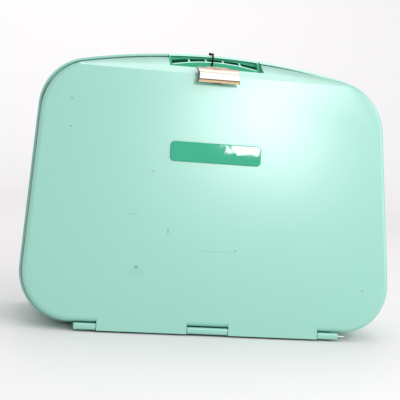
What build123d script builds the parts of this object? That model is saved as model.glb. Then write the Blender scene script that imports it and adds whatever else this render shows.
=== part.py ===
from build123d import *
import os
from math import cos, hypot, pi, radians, sin, tan

# A hard plastic carrying case that stands on its long edge.
# X runs to the right, Y away from the front, Z up, in millimetres.
# A depth is measured level, back from the leaning front face.

# Case outline
LEAN = 10.0
SIDE_TAPER = 3.2
HALF_WIDTH = 195.8
LID_BOTTOM = 9.5
LID_APEX = 289.1
LID_ARCH = 650.0
LOW_CORNER = 50.0
HIGH_CORNER = 57.0
LID_WALL = 2.5
LID_EDGE_ROUND = 5.0
FACET_DROP = 19.5
FACET_RISE = 27.4

# Rear shell
SIDE_GAP = 0.6
TOP_GAP = 2.1
BOTTOM_GAP = 4.7
SHELL_WALL = 2.3
SHELL_DEPTH = 175.0
SHELL_ARCH = 702.0
SHELL_HIGH_CORNER = 53.0
REAR_LEAN = 3.0
REAR_ROUND = 10.0
LIP_DEPTH = 38.0
LID_NEST = 4.5
STOP_GAP = 0.3
LEDGE = 2.0

# Hinge
ROD_RADIUS = 1.25
ROD_DEPTH = 3.0
FIXED_FIT = 0.02
ROD_RUNNING_FIT = 0.07
ROD_PROUD = 7.0
BARREL_RADIUS = 3.4
BARREL_ROUND = 2.2
BARREL_FLAT = 3.0
BARREL_SPANS = ((-138.0, -116.0), (-22.5, 19.5), (115.5, 137.5))
BARREL_GAP = 0.7
BARREL_CLEAR = 0.6
ARM_THICKNESS = 2.7
SKIRT_BOTTOM = 2.1
SKIRT_THICKNESS = 6.6

# Hand grip
NOTCH_GAP = 1.2
NOTCH_DEPTH = 14.4
NOTCH_SLOPE = 18.0
NOTCH_WALL = 2.2
GRIP_HALF = 50.0
GRIP_OVERHANG = 11.0
GRIP_WIDTH = 25.0
GRIP_HEIGHT = 16.0
GRIP_WALL = 2.4
GRIP_LIP_ROUND = 1.9
GRIP_FRONT_HEIGHT = 8.3
GRIP_FRONT_ARCH = 210.0
GRIP_BAND_SETBACK = 2.5
GRIP_BAND_DROP = 4.5
GRIP_BAND_ARCH = 290.0
GRIP_ARM = 18.0
ARM_TOP_HEIGHT = 12.6
ARM_SHOULDER_HEIGHT = 9.2
ARM_SHOULDER = 6.0
RIB_COUNT = 4
RIB_SPACING = 18.8
RIB_THICKNESS = 1.7
RIB_DROP = 0.6
RIB_BITE = 0.8
PIVOT_DROP = 4.5
PIVOT_EYE = 5.0
PIN_RADIUS = 2.0
PIN_FIT = 0.05
PIN_HEAD_RADIUS = 3.2
PIN_HEAD = 1.0
PIN_CLEAR = 0.3
PIN_PROUD = 2.6
CLIP_RADIUS = 3.6
CLIP_THICKNESS = 0.9

# Tub for the grip
TUB_GAP = 0.7
TUB_WALL = 2.0
TUB_FRONT_GAP = 0.5
TUB_BEHIND = 14.0
TUB_DEEP = 14.5
TUB_FRONT_DROP = 3.0
TUB_FIT = 0.3
FLANGE_WIDTH = 9.0
FLANGE_DROP = 7.9
REST_LENGTH = 5.0
REST_WIDTH = 4.0
REST_GAP = 0.3
SCREW_RADIUS = 1.5
SCREW_HEAD_RADIUS = 3.0
SCREW_HEAD = 1.8
SCREW_BITE = 1.0

# Latch
LATCH_PLACE = -2.0
LEVER_LINE = (
    (-14.3, -15.8),
    (-16.5, -12.7),
    (-13.6, -4.9),
    (-7.8, -1.2),
    (-1.9, 0.6),
)
LATCH_HALF = 23.2
LATCH_WAIST = 1.4
LATCH_SHEET = 1.4
LATCH_PIVOT_DEPTH = 6.5
LATCH_STANDOFF = 3.95
KNUCKLE_RADIUS = 1.8
KNUCKLE_HALF = 9.8
LATCH_PIN_RADIUS = 1.0
LATCH_PIN_HALF = 14.0
LATCH_PIN_FIT = 0.05
EAR_INNER = 10.2
EAR_THICKNESS = 1.0
EAR_CLEAR = 0.3
EAR_MARGIN = 0.1
EAR_RELIEF = 0.7
BRACKET_SHEET = 0.8
BRACKET_HALF = 17.0
BRACKET_START = 1.5
BRACKET_LENGTH = 9.5
RIVET_PLACE = 14.2
RIVET_RADIUS = 1.2
RIVET_HEAD_RADIUS = 2.0
RIVET_HEAD = 0.7
BACKING_SHEET = 1.0
CLAW_HALF = 5.0
CLAW_SHEET = 1.6
CLAW_SLOT_GAP = 1.0
CLAW_SLOT_LOW = 16.2
CLAW_SLOT_HIGH = 10.0
CLAW_ROOT = (-17.6, -10.2)
CLAW_KNEE = (-9.0, -11.4)
TOOTH_DROP = 1.9
TOOTH_GAP = 0.8
TOOTH_RISE = 3.6
STRIKE_SHEET = 1.5
STRIKE_HALF = 12.0
STRIKE_LIP = 6.5
STRIKE_LENGTH = 18.0
STRIKE_SETBACK = 1.2
STRIKE_SCREW_BACK = 12.0
STRIKE_SCREW_PLACE = 7.5
SPRING_WIRE = 0.5
SPRING_GAP = 0.35
SPRING_TURNS = 3
SPRING_PITCH_GAP = 0.2

# Name plate, feet and tie
PLATE_CENTRE = -0.4
PLATE_HEIGHT = 187.3
PLATE_LENGTH = 96.4
PLATE_WIDTH = 21.0
PLATE_THICKNESS = 1.6
PLATE_ROUND = 1.0
PLATE_CORNER = 4.5
FOOT_RADIUS = 10.0
FOOT_TAPER = 0.8
FOOT_ACROSS = 115.0
FOOT_FRONT = 62.0
FOOT_REAR_INSET = 20.0
FOOT_SEAT = 1.4
FOOT_SCREW_HEAD = 1.0
FOOT_BOSS = 5.0
FOOT_BOSS_HEIGHT = 5.0
TIE_RADIUS = 0.9
TIE_PLACE = -1.9
TIE_TILT = 11.6
TIE_CLEAR = 0.5
TIE_BEND = 2.0
KNOT_RADIUS = 1.5

BIG = 1000.0
SHELL_BOTTOM = LID_BOTTOM - BOTTOM_GAP - SHELL_WALL
RIM_APEX = LID_APEX + TOP_GAP + SHELL_WALL
LID_DEPTH = LIP_DEPTH + LID_NEST
FACET_START = LID_APEX - FACET_DROP
ROD_HEIGHT = LID_BOTTOM - BARREL_RADIUS - BARREL_CLEAR
NOTCH_HALF = GRIP_HALF + NOTCH_GAP
GRIP_FRONT = LIP_DEPTH - GRIP_OVERHANG
GRIP_BACK = GRIP_FRONT + GRIP_WIDTH
GRIP_BOTTOM = RIM_APEX - GRIP_HEIGHT
GRIP_FRONT_TOP = GRIP_BOTTOM + GRIP_FRONT_HEIGHT
PIVOT_DEPTH = GRIP_BACK + GRIP_ARM
PIVOT_HEIGHT = GRIP_BOTTOM - PIVOT_DROP
GRIP_BAND_BOTTOM = RIM_APEX - GRIP_BAND_DROP
WELL_HALF = GRIP_HALF + TUB_GAP
TUB_HALF = WELL_HALF + TUB_WALL
TUB_FRONT = LID_DEPTH + TUB_FRONT_GAP
TUB_BACK = PIVOT_DEPTH + TUB_BEHIND
TUB_FLOOR = GRIP_BOTTOM - TUB_DEEP
TUB_FRONT_TOP = GRIP_BOTTOM - TUB_FRONT_DROP
FLANGE_BOTTOM = RIM_APEX - FLANGE_DROP
STRIKE_LIP_BOTTOM = TUB_FLOOR - TUB_WALL - STRIKE_LIP
FOOT_BACK = SHELL_DEPTH - FOOT_REAR_INSET


def at_depth(depth, height):
    """The point (y, z) that lies this far behind the leaning front face."""
    return depth + height * tan(radians(LEAN)), height


def slab(front, back):
    """All space between two depths, both parallel to the front face."""
    lean = radians(LEAN)
    plane = Plane(origin=(0, front, 0), x_dir=(1, 0, 0), z_dir=(0, cos(lean), -sin(lean)))
    thickness = (back - front) * cos(lean)
    return plane * Box(BIG, BIG, thickness, align=(Align.CENTER, Align.CENTER, Align.MIN))


def block(x0, x1, y0, y1, z0, z1):
    """A box between these corners."""
    return Pos((x0 + x1) / 2, (y0 + y1) / 2, (z0 + z1) / 2) * Box(x1 - x0, y1 - y0, z1 - z0)


def rod(x0, x1, centre, radius):
    """A round bar along X about the point centre, given as (y, z)."""
    bar = Rot(0, 90, 0) * Cylinder(radius, x1 - x0)
    return Pos((x0 + x1) / 2, *centre) * bar


def post(x, y, z0, z1, radius):
    """A round bar that stands between two heights."""
    return Pos(x, y, (z0 + z1) / 2) * Cylinder(radius, z1 - z0)


def sheet_profile(points, x0, x1):
    """A closed side view of (y, z) points, drawn out from x0 to x1."""
    face = make_face(Polyline(*points, close=True))
    return Pos(x0, 0, 0) * extrude(Plane.YZ * face, amount=x1 - x0)


def strip(points, thickness):
    """The side view of a bent sheet, whose outer line is points and whose inside is to its left."""
    inner = []
    for index, point in enumerate(points):
        before = points[max(index - 1, 0)]
        after = points[min(index + 1, len(points) - 1)]
        ways = []
        for start, end in ((before, point), (point, after)):
            length = hypot(end[0] - start[0], end[1] - start[1])
            if length > 0:
                ways.append((-(end[1] - start[1]) / length, (end[0] - start[0]) / length))
        across = (sum(way[0] for way in ways), sum(way[1] for way in ways))
        scale = thickness * len(ways) / (across[0] ** 2 + across[1] ** 2)
        inner.append((point[0] + across[0] * scale, point[1] + across[1] * scale))
    return list(points) + inner[::-1]


def outline_prism(half_width, bottom, apex, low_corner, high_corner, arch_radius):
    """The case's front view, drawn out along Y over its whole depth."""
    slope = tan(radians(SIDE_TAPER))
    low = half_width - slope * bottom
    high = half_width - slope * apex
    corners = ((-low, bottom), (low, bottom), (high, apex), (-high, apex))
    face = make_face(Polyline(*corners, close=True))
    face = face & Pos(0, apex - arch_radius) * Circle(arch_radius)
    by_height = face.vertices().sort_by(Axis.Y)
    face = fillet(by_height[:2], low_corner)
    by_height = face.vertices().sort_by(Axis.Y)
    face = fillet(by_height[-2:], high_corner)
    return Pos(0, -BIG / 2, 0) * extrude(Plane.XZ * face, amount=BIG, dir=(0, 1, 0))


def lid_prism(inset):
    """The lid's outline, drawn in by inset all round."""
    return outline_prism(
        HALF_WIDTH - inset,
        LID_BOTTOM + inset,
        LID_APEX - inset,
        LOW_CORNER - inset,
        HIGH_CORNER - inset,
        LID_ARCH - inset,
    )


def shell_prism(inset):
    """The rear shell's outline, where an inset of SHELL_WALL is its inner wall."""
    grow = SHELL_WALL - inset
    return outline_prism(
        HALF_WIDTH + SIDE_GAP + grow,
        LID_BOTTOM - BOTTOM_GAP - grow,
        LID_APEX + TOP_GAP + grow,
        LOW_CORNER + SIDE_GAP + grow,
        SHELL_HIGH_CORNER + grow,
        SHELL_ARCH + grow,
    )


def above_plane(point, slope):
    """All space above a plane through (y, z) that rises by slope degrees towards the back."""
    plane = Plane(
        origin=(0, *point),
        x_dir=(1, 0, 0),
        z_dir=(0, -sin(radians(slope)), cos(radians(slope))),
    )
    return plane * Box(BIG, BIG, BIG, align=(Align.CENTER, Align.CENTER, Align.MIN))


def facet_point(along, out):
    """The point (y, z) that lies this far up the facet and this far out of it."""
    start = at_depth(0, FACET_START)
    rise = radians(FACET_RISE)
    y = start[0] + along * cos(rise) - out * sin(rise)
    z = start[1] + along * sin(rise) + out * cos(rise)
    return y, z


def facet_plate(x0, x1, start, end, low, high):
    """A flat plate that lies on the facet or under it."""
    corners = (
        facet_point(start, low),
        facet_point(end, low),
        facet_point(end, high),
        facet_point(start, high),
    )
    return sheet_profile(corners, x0, x1)


def facet_pin(x, along, low, high, radius):
    """A round pin that stands square to the facet."""
    plane = Plane(
        origin=(x, *facet_point(along, low)),
        x_dir=(1, 0, 0),
        z_dir=(0, -sin(radians(FACET_RISE)), cos(radians(FACET_RISE))),
    )
    return plane * Cylinder(radius, high - low, align=(Align.CENTER, Align.CENTER, Align.MIN))


LATCH_PIVOT_HEIGHT = FACET_START + LATCH_PIVOT_DEPTH * tan(radians(FACET_RISE)) + LATCH_STANDOFF
ROD_CENTRE = at_depth(ROD_DEPTH, ROD_HEIGHT)
PIVOT_CENTRE = at_depth(PIVOT_DEPTH, PIVOT_HEIGHT)
LATCH_CENTRE = at_depth(LATCH_PIVOT_DEPTH, LATCH_PIVOT_HEIGHT)
CLAW_SLOT_BOTTOM = LATCH_PIVOT_HEIGHT - CLAW_SLOT_LOW
CLAW_SLOT_TOP = LATCH_PIVOT_HEIGHT - CLAW_SLOT_HIGH
TOOTH_TOP = STRIKE_LIP_BOTTOM - TOOTH_DROP
RIVET_ALONG = BRACKET_START + BRACKET_LENGTH / 2


def claw_slot():
    """The slot in the lid's front wall that the claw reaches through."""
    half = CLAW_HALF + CLAW_SLOT_GAP
    x0, x1 = LATCH_PLACE - half, LATCH_PLACE + half
    gap = block(x0, x1, -BIG / 2, BIG / 2, CLAW_SLOT_BOTTOM, CLAW_SLOT_TOP)
    return gap & slab(-LID_WALL, LID_WALL * 2)


def skirt():
    """The two low bars of the lid that the hinge rod runs through."""
    bars = []
    for before, after in zip(BARREL_SPANS, BARREL_SPANS[1:]):
        x0, x1 = before[1] + BARREL_GAP, after[0] - BARREL_GAP
        front_low = at_depth(0, SKIRT_BOTTOM)
        front_high = at_depth(0, LID_BOTTOM + 2 * LID_EDGE_ROUND)
        back_high = (front_high[0] + LID_WALL, front_high[1])
        back_mid = (front_low[0] + SKIRT_THICKNESS, LID_BOTTOM + LID_WALL)
        back_low = (front_low[0] + SKIRT_THICKNESS, SKIRT_BOTTOM)
        bars.append(sheet_profile((front_low, front_high, back_high, back_mid, back_low), x0, x1))
    return bars[0] + bars[1]


def front_lid():
    """The front half: a leaning tray with a facet, a notch for the grip and a skirt."""
    rise = FACET_RISE
    solid = lid_prism(0) & slab(0, LID_DEPTH)
    front = solid.faces().sort_by(Axis((0, 0, 0), (0, cos(radians(LEAN)), -sin(radians(LEAN)))))[0]
    solid = fillet(front.edges(), LID_EDGE_ROUND)
    solid -= above_plane(at_depth(0, FACET_START), rise)
    hollow = lid_prism(LID_WALL) & slab(LID_WALL, LID_DEPTH + LID_WALL)
    hollow -= above_plane(facet_point(0, -LID_WALL), rise)
    notch_start = at_depth(NOTCH_DEPTH, FACET_START + NOTCH_DEPTH * tan(radians(rise)))
    notch = above_plane(notch_start, -NOTCH_SLOPE) & block(
        -NOTCH_HALF, NOTCH_HALF, -BIG / 2, BIG / 2, 0, BIG
    )
    wall_start = (notch_start[0], notch_start[1] - NOTCH_WALL / cos(radians(NOTCH_SLOPE)))
    half = NOTCH_HALF + NOTCH_WALL
    walls = above_plane(wall_start, -NOTCH_SLOPE) & block(-half, half, -BIG / 2, BIG / 2, 0, BIG)
    lid = solid - (hollow - walls) - notch
    lid += skirt()
    lid -= rod(-HALF_WIDTH, HALF_WIDTH, ROD_CENTRE, ROD_RADIUS + ROD_RUNNING_FIT)
    lid -= claw_slot()
    for side in (-1, 1):
        place = LATCH_PLACE + side * RIVET_PLACE
        lid -= facet_pin(place, RIVET_ALONG, -2 * LID_WALL, LID_WALL, RIVET_RADIUS + FIXED_FIT)
    return lid


def rear_limit(inset):
    """All space behind the rear wall's plane, moved in by inset."""
    lean = radians(REAR_LEAN)
    plane = Plane(
        origin=(0, SHELL_DEPTH - inset / cos(lean), 0),
        x_dir=(1, 0, 0),
        z_dir=(0, cos(lean), sin(lean)),
    )
    return plane * Box(BIG, BIG, BIG, align=(Align.CENTER, Align.CENTER, Align.MIN))


def hinge_arm(x0, x1):
    """One arm of the shell that reaches forward under the lid to its barrel."""
    bottom = SHELL_BOTTOM
    arm = block(x0, x1, ROD_CENTRE[0], at_depth(LID_DEPTH, bottom)[0], bottom, bottom + ARM_THICKNESS)
    section = RectangleRounded(2 * BARREL_FLAT, 2 * BARREL_RADIUS, BARREL_ROUND)
    barrel = extrude(Plane.YZ * (Pos(*ROD_CENTRE) * section), amount=x1 - x0)
    return arm + Pos(x0, 0, 0) * barrel


def foot_places():
    """The four places (x, y) of the feet."""
    return [(x, y) for x in (-FOOT_ACROSS, FOOT_ACROSS) for y in (FOOT_FRONT, FOOT_BACK)]


def housing_screw_places():
    """The four places (x, y) of the screws that hold the tub."""
    across = TUB_HALF + TUB_FIT + FLANGE_WIDTH / 2
    places = []
    for depth in (TUB_FRONT + FLANGE_WIDTH, TUB_BACK - FLANGE_WIDTH / 2):
        for side in (-1, 1):
            places.append((side * across, at_depth(depth, FLANGE_BOTTOM)[0]))
    return places


def screw_top():
    """The height that the tub's screws reach in the shell's top wall."""
    across = TUB_HALF + TUB_FIT + FLANGE_WIDTH / 2
    inner = LID_APEX + TOP_GAP
    return inner - across**2 / (2 * SHELL_ARCH) + SCREW_BITE


def rear_shell():
    """The deep half: a rim round the lid, a stop ledge, hinge arms and the grip's opening."""
    solid = (shell_prism(0) & slab(LIP_DEPTH, BIG)) - rear_limit(0)
    rear = solid.faces().sort_by(Axis((0, 0, 0), (0, 1, 0)))[-1]
    solid = fillet(rear.edges(), REAR_ROUND)
    hollow = shell_prism(SHELL_WALL) - rear_limit(SHELL_WALL)
    hollow_rear = hollow.faces().sort_by(Axis((0, 0, 0), (0, 1, 0)))[-1]
    hollow = fillet(hollow_rear.edges(), REAR_ROUND - SHELL_WALL)
    ledge_front = LID_DEPTH + STOP_GAP
    ledge = shell_prism(SHELL_WALL / 2) - lid_prism(LID_WALL)
    ledge = ledge & slab(ledge_front, ledge_front + LEDGE)
    shell = solid - hollow + ledge
    opening = block(-TUB_HALF - TUB_FIT, TUB_HALF + TUB_FIT, 0, BIG, TUB_FLOOR - TUB_WALL, BIG)
    shell -= opening & slab(TUB_FRONT, TUB_BACK + TUB_WALL + TUB_FIT)
    mouth = block(-NOTCH_HALF, NOTCH_HALF, 0, BIG, TUB_FLOOR - TUB_WALL, BIG)
    shell -= mouth & slab(0, TUB_FRONT)
    for x0, x1 in BARREL_SPANS:
        shell += hinge_arm(x0, x1)
    shell -= rod(-BIG / 2, BIG / 2, ROD_CENTRE, ROD_RADIUS + FIXED_FIT)
    for x, y in foot_places():
        inner = SHELL_BOTTOM + SHELL_WALL
        shell += post(x, y, inner - SHELL_WALL / 2, inner + FOOT_BOSS_HEIGHT, FOOT_BOSS)
        shell -= post(x, y, 0, inner + FOOT_BOSS_HEIGHT + SHELL_WALL, SCREW_RADIUS + FIXED_FIT)
    for x, y in housing_screw_places():
        shell -= post(x, y, FLANGE_BOTTOM, screw_top(), SCREW_RADIUS + FIXED_FIT)
    return shell


def handle_housing():
    """The tub that the grip folds into, with the flange that it is screwed up by."""
    half = TUB_HALF
    low = TUB_FLOOR - TUB_WALL
    outer = block(-half, half, 0, BIG, low, BIG) & slab(TUB_FRONT, TUB_BACK + TUB_WALL)
    outer = outer & shell_prism(0)
    well = block(-WELL_HALF, WELL_HALF, 0, BIG, TUB_FLOOR, BIG)
    tub = outer - (well & slab(TUB_FRONT + TUB_WALL, TUB_BACK))
    tub -= block(-half, half, 0, BIG, TUB_FRONT_TOP, BIG) & slab(0, TUB_FRONT + TUB_WALL)
    rest_end = GRIP_BACK + REST_LENGTH
    for side in (-1, 1):
        x0, x1 = sorted((side * (WELL_HALF - REST_WIDTH), side * (WELL_HALF + TUB_WALL / 2)))
        rest = block(x0, x1, 0, BIG, low, GRIP_BOTTOM - REST_GAP)
        tub += rest & slab(TUB_FRONT + TUB_WALL / 2, rest_end)
    wide = half + TUB_FIT + FLANGE_WIDTH
    flange = block(-wide, wide, 0, BIG, FLANGE_BOTTOM, BIG) & shell_prism(SHELL_WALL)
    flange = flange & slab(TUB_FRONT + FLANGE_WIDTH / 2, TUB_BACK + TUB_WALL + FLANGE_WIDTH)
    flange -= block(-WELL_HALF, WELL_HALF, 0, BIG, 0, BIG) & slab(0, TUB_BACK)
    tub += flange
    tub -= rod(-BIG / 2, BIG / 2, PIVOT_CENTRE, PIN_RADIUS + FIXED_FIT)
    for x, y in housing_screw_places():
        tub -= post(x, y, FLANGE_BOTTOM, RIM_APEX, SCREW_RADIUS + FIXED_FIT)
    for x, y in strike_screw_places():
        tub -= post(x, y, low - TUB_WALL, strike_screw_top(), SCREW_RADIUS + FIXED_FIT)
    return tub


def hinge_rod():
    """The steel rod that the lid turns on."""
    return rod(BARREL_SPANS[0][0], BARREL_SPANS[-1][1] + ROD_PROUD, ROD_CENTRE, ROD_RADIUS)


def arch_below(top, radius):
    """All space under an arch that runs along Y, whose crown is at the height top."""
    return Pos(0, 0, top - radius) * (Rot(90, 0, 0) * Cylinder(radius, BIG))


def rib_places():
    """The places in X of the grip's ribs."""
    return [RIB_SPACING * (index - (RIB_COUNT - 1) / 2) for index in range(RIB_COUNT)]


def grip_front():
    """The grip's low front wall, with an arched top and a rounded lip."""
    wall = block(-GRIP_HALF, GRIP_HALF, 0, BIG, GRIP_BOTTOM, BIG)
    wall = wall & slab(GRIP_FRONT, GRIP_FRONT + GRIP_WALL)
    wall = wall & arch_below(GRIP_FRONT_TOP, GRIP_FRONT_ARCH)
    lips = wall.edges().filter_by(GeomType.ELLIPSE).sort_by(Axis.Y)
    return fillet(lips[0], GRIP_LIP_ROUND)


def handle():
    """The folding grip: a channel with a top plate, a hanging band, ribs and two arms."""
    top = shell_prism(0)
    under_plate = shell_prism(SHELL_WALL)
    wide = block(-GRIP_HALF, GRIP_HALF, 0, BIG, GRIP_BOTTOM, BIG)
    grip = grip_front()
    floor = block(-GRIP_HALF, GRIP_HALF, 0, BIG, GRIP_BOTTOM, GRIP_BOTTOM + GRIP_WALL)
    grip += floor & slab(GRIP_FRONT, GRIP_BACK)
    grip += wide & slab(GRIP_BACK - GRIP_WALL, GRIP_BACK) & top
    grip += (wide & slab(LIP_DEPTH, GRIP_BACK) & top) - under_plate
    band_front = LIP_DEPTH + GRIP_BAND_SETBACK
    band = wide & slab(band_front, band_front + GRIP_WALL) & shell_prism(SHELL_WALL / 2)
    grip += band - arch_below(GRIP_BAND_BOTTOM, GRIP_BAND_ARCH)
    for x in rib_places():
        lip = GRIP_FRONT_TOP - x**2 / (2 * GRIP_FRONT_ARCH) - RIB_DROP
        band_low = GRIP_BAND_BOTTOM - x**2 / (2 * GRIP_BAND_ARCH) + RIB_BITE
        plate = RIM_APEX - SHELL_WALL / 2 - x**2 / (2 * SHELL_ARCH)
        points = (
            at_depth(GRIP_FRONT + GRIP_WALL / 2, GRIP_BOTTOM + GRIP_WALL / 2),
            at_depth(GRIP_FRONT + GRIP_WALL / 2, lip),
            at_depth(band_front + GRIP_WALL / 2, band_low),
            at_depth(band_front + GRIP_WALL / 2, plate),
            at_depth(GRIP_BACK - GRIP_WALL / 2, plate),
            at_depth(GRIP_BACK - GRIP_WALL / 2, GRIP_BOTTOM + GRIP_WALL / 2),
        )
        grip += sheet_profile(points, x - RIB_THICKNESS / 2, x + RIB_THICKNESS / 2)
    tip = GRIP_FRONT_TOP - GRIP_HALF**2 / (2 * GRIP_FRONT_ARCH) - RIB_DROP
    arm_side = (
        at_depth(GRIP_FRONT + RIB_DROP, GRIP_BOTTOM),
        at_depth(GRIP_FRONT + RIB_DROP, tip),
        at_depth(LIP_DEPTH + RIB_DROP, GRIP_BOTTOM + ARM_TOP_HEIGHT),
        at_depth(GRIP_BACK, GRIP_BOTTOM + ARM_TOP_HEIGHT),
        at_depth(GRIP_BACK + ARM_SHOULDER, GRIP_BOTTOM + ARM_SHOULDER_HEIGHT),
        at_depth(PIVOT_DEPTH, PIVOT_HEIGHT + PIVOT_EYE),
        at_depth(PIVOT_DEPTH, PIVOT_HEIGHT - PIVOT_EYE),
        at_depth(GRIP_BACK + ARM_SHOULDER, GRIP_BOTTOM),
    )
    for side in (-1, 1):
        x0, x1 = sorted((side * GRIP_HALF, side * (GRIP_HALF - GRIP_WALL)))
        grip += sheet_profile(arm_side, x0, x1)
        grip += rod(x0, x1, PIVOT_CENTRE, PIVOT_EYE)
    return grip - rod(-BIG / 2, BIG / 2, PIVOT_CENTRE, PIN_RADIUS + PIN_FIT)


def handle_pin():
    """The two headed pins that the grip's arms turn on."""
    pins = []
    for side in (-1, 1):
        head = GRIP_HALF - GRIP_WALL - PIN_CLEAR
        shank = sorted((side * head, side * (TUB_HALF + PIN_PROUD)))
        cap = sorted((side * (head - PIN_HEAD), side * head))
        pin = rod(*shank, PIVOT_CENTRE, PIN_RADIUS) + rod(*cap, PIVOT_CENTRE, PIN_HEAD_RADIUS)
        pins.append(pin)
    return pins


def handle_clip():
    """The two rings that keep the grip's pins in the tub."""
    clips = []
    for side in (-1, 1):
        start = TUB_HALF + PIN_CLEAR
        x0, x1 = sorted((side * start, side * (start + CLIP_THICKNESS)))
        ring = rod(x0, x1, PIVOT_CENTRE, CLIP_RADIUS)
        clips.append(ring - rod(x0, x1, PIVOT_CENTRE, PIN_RADIUS + FIXED_FIT))
    return clips


def screw(x, y, seat, top, head=SCREW_HEAD):
    """A screw that is driven upwards, with its head under the seat."""
    return post(x, y, seat, top, SCREW_RADIUS) + post(x, y, seat - head, seat, SCREW_HEAD_RADIUS)


def housing_screw():
    """The four screws that hold the tub up to the shell."""
    screws = []
    for x, y in housing_screw_places():
        screws.append(screw(x, y, FLANGE_BOTTOM, screw_top()))
    return screws


def lever_line():
    """The lever's outer side view, from its lower lip to its rolled top."""
    return [at_depth(LATCH_PIVOT_DEPTH + d, LATCH_PIVOT_HEIGHT + z) for d, z in LEVER_LINE]


def latch_lever():
    """The bent plate that a finger pulls, waisted at its sides and rolled round its pin."""
    plate = sheet_profile(strip(lever_line(), -LATCH_SHEET), -LATCH_HALF, LATCH_HALF)
    low = lever_line()[0][1]
    high = lever_line()[-1][1]
    middle = (low + high) / 2
    waist_radius = (high - middle) ** 2 / (2 * LATCH_WAIST) + LATCH_WAIST / 2
    for side in (-1, 1):
        place = side * (LATCH_HALF - LATCH_WAIST + waist_radius)
        plate -= Pos(place, 0, middle) * (Rot(90, 0, 0) * Cylinder(waist_radius, BIG))
    knuckle = rod(-KNUCKLE_HALF, KNUCKLE_HALF, LATCH_CENTRE, KNUCKLE_RADIUS)
    bore = LATCH_PIN_RADIUS + LATCH_PIN_FIT
    lever = plate + knuckle - rod(-LATCH_HALF, LATCH_HALF, LATCH_CENTRE, bore)
    for side in (-1, 1):
        x0, x1 = sorted((side * (EAR_INNER - EAR_CLEAR), side * (LATCH_PIN_HALF + EAR_CLEAR)))
        lever -= rod(x0, x1, LATCH_CENTRE, KNUCKLE_RADIUS + EAR_RELIEF)
    return lever.solids().sort_by(SortBy.VOLUME)[-1]


def tooth_back():
    """Where the claw's tooth ends behind the strike plate's lip, in Y."""
    return strike_front() + STRIKE_SHEET + TOOTH_GAP + CLAW_SHEET


def claw_line():
    """The claw's upper side view, from the lever back to its tooth."""
    y, z = LATCH_CENTRE
    root = (y + CLAW_ROOT[0], z + CLAW_ROOT[1])
    knee = (y + CLAW_KNEE[0], z + CLAW_KNEE[1])
    return [root, knee, (tooth_back() - CLAW_SHEET / 2, TOOTH_TOP - TOOTH_RISE)]


def latch_claw():
    """The arm behind the lever, whose tooth catches behind the strike plate."""
    arm = sheet_profile(strip(claw_line(), -CLAW_SHEET), -CLAW_HALF, CLAW_HALF)
    y = tooth_back()
    low = TOOTH_TOP - TOOTH_RISE - CLAW_SHEET / 2
    claw = arm + block(-CLAW_HALF, CLAW_HALF, y - CLAW_SHEET, y, low, TOOTH_TOP)
    return (claw - latch_lever()).solids().sort_by(SortBy.VOLUME)[-1]


def latch_pin():
    """The pin that the lever turns on."""
    return rod(-LATCH_PIN_HALF, LATCH_PIN_HALF, LATCH_CENTRE, LATCH_PIN_RADIUS)


def latch_bracket():
    """The riveted base with two ears that carries the latch's pin."""
    end = BRACKET_START + BRACKET_LENGTH
    base = facet_plate(-BRACKET_HALF, BRACKET_HALF, BRACKET_START, end, 0, BRACKET_SHEET)
    along = (LATCH_CENTRE[0] - facet_point(0, 0)[0]) * cos(radians(FACET_RISE))
    along += (LATCH_CENTRE[1] - facet_point(0, 0)[1]) * sin(radians(FACET_RISE))
    for side in (-1, 1):
        x0, x1 = sorted((side * EAR_INNER, side * (EAR_INNER + EAR_THICKNESS)))
        reach = KNUCKLE_RADIUS + EAR_MARGIN
        out = hypot(*(a - b for a, b in zip(LATCH_CENTRE, facet_point(along, 0))))
        base += facet_plate(x0, x1, along - reach, min(along + reach, end), 0, out)
        base += rod(x0, x1, LATCH_CENTRE, reach)
        place = side * RIVET_PLACE
        base -= facet_pin(place, RIVET_ALONG, -LID_WALL, LID_WALL, RIVET_RADIUS + FIXED_FIT)
    return base - rod(-LATCH_HALF, LATCH_HALF, LATCH_CENTRE, LATCH_PIN_RADIUS + FIXED_FIT)


def latch_backing_plate():
    """The plate inside the lid that spreads the rivets' pull."""
    end = BRACKET_START + BRACKET_LENGTH
    low = -LID_WALL - BACKING_SHEET
    plate = facet_plate(-BRACKET_HALF, BRACKET_HALF, BRACKET_START, end, low, -LID_WALL)
    for side in (-1, 1):
        plate -= facet_pin(side * RIVET_PLACE, RIVET_ALONG, 2 * low, 0, RIVET_RADIUS + FIXED_FIT)
    return plate


def latch_rivet():
    """The two rivets through bracket, lid and backing plate."""
    rivets = []
    low = -LID_WALL - BACKING_SHEET
    for side in (-1, 1):
        place = side * RIVET_PLACE
        rivet = facet_pin(place, RIVET_ALONG, low, BRACKET_SHEET, RIVET_RADIUS)
        rivet += facet_pin(
            place, RIVET_ALONG, BRACKET_SHEET, BRACKET_SHEET + RIVET_HEAD, RIVET_HEAD_RADIUS
        )
        rivet += facet_pin(place, RIVET_ALONG, low - RIVET_HEAD, low, RIVET_HEAD_RADIUS)
        rivets.append(rivet)
    return rivets


def strike_front():
    """Where the strike plate's lip starts, in Y."""
    return at_depth(TUB_FRONT, TUB_FLOOR - TUB_WALL)[0] + STRIKE_SETBACK


def strike_screw_places():
    """The two places (x, y) of the strike plate's screws."""
    y = strike_front() + STRIKE_SCREW_BACK
    return [(-STRIKE_SCREW_PLACE, y), (STRIKE_SCREW_PLACE, y)]


def strike_screw_top():
    """The height that the strike plate's screws reach in the tub's floor."""
    return TUB_FLOOR - PIN_CLEAR


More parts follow.
